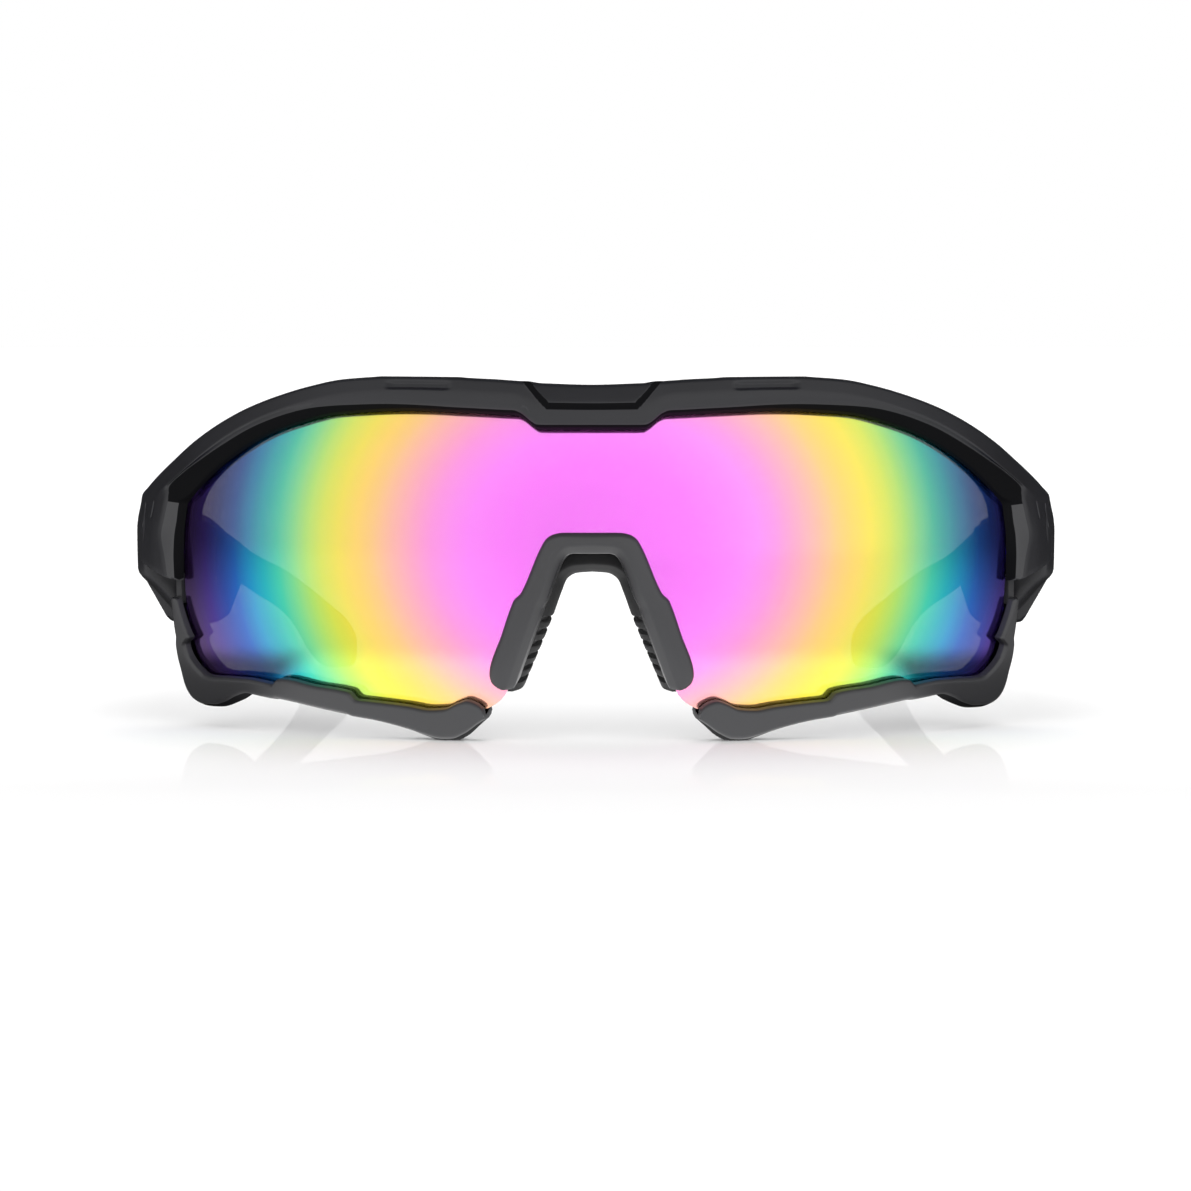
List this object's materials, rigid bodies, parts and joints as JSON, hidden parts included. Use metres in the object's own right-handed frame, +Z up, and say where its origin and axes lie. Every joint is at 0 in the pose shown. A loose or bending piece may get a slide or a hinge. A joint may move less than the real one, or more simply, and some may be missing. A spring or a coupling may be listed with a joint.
{
  "type": "wraparound sport sunglasses",
  "caption": "Wraparound sport sunglasses: one mirrored shield lens slid into a brow frame, clip-on lower rims, a ribbed nose saddle and folding temples with rubber ear tips.",
  "frame": {"origin": "on the floor the glasses stand on, under the middle of the whole object's box, with the temples open", "axes": "+Z up, the front faces -Y and the temples run back along +Y, +X towards the wearer's left"},
  "size_m": [0.1512, 0.1604, 0.0573],
  "materials": {
    "frame": "matte charcoal moulded nylon, finely grained",
    "lens": "multi-colour mirror coating on tinted polycarbonate",
    "rubber": "soft matte elastomer",
    "steel": "plain stainless steel",
    "brass": "machined brass",
    "nylon": "natural nylon"
  },
  "bodies": {
    "front": {"brow_frame": "frame", "left_hinge_screw": "steel", "right_hinge_screw": "steel", "left_hinge_insert": "brass", "right_hinge_insert": "brass", "left_hinge_washer_low": "nylon", "left_hinge_washer_high": "nylon", "right_hinge_washer_low": "nylon", "right_hinge_washer_high": "nylon"},
    "left_arm": {"left_temple": "frame", "left_ear_tip": "rubber"},
    "right_arm": {"right_temple": "frame", "right_ear_tip": "rubber"},
    "shield": {"lens": "lens"},
    "nose_piece": {"nose_bridge": "frame", "nose_saddle": "rubber"},
    "left_rim": {"left_lower_rim": "frame"},
    "right_rim": {"right_lower_rim": "frame"}
  },
  "joints": [
    {"name": "left_temple_fold", "type": "hinge", "parent": "front", "child": "left_arm", "pos_m": [0.0652, -0.031, 0.0264], "axis": [0, 0, 1], "range_deg": [0, 92]},
    {"name": "right_temple_fold", "type": "hinge", "parent": "front", "child": "right_arm", "pos_m": [-0.0652, -0.031, 0.0264], "axis": [0, 0, -1], "range_deg": [0, 80]},
    {"name": "lens_release", "type": "hinge", "parent": "front", "child": "shield", "pos_m": [0, 0.006, 0.027], "axis": [1, 0, 0], "range_deg": [0, 10]},
    {"name": "nose_piece_release", "type": "hinge", "parent": "shield", "child": "nose_piece", "pos_m": [0, 0.006, 0.027], "axis": [1, 0, 0], "range_deg": [0, 8]},
    {"name": "left_rim_release", "type": "hinge", "parent": "shield", "child": "left_rim", "pos_m": [0, 0.006, 0.027], "axis": [1, 0, 0], "range_deg": [0, 8]},
    {"name": "right_rim_release", "type": "hinge", "parent": "shield", "child": "right_rim", "pos_m": [0, 0.006, 0.027], "axis": [1, 0, 0], "range_deg": [0, 8]}
  ]
}
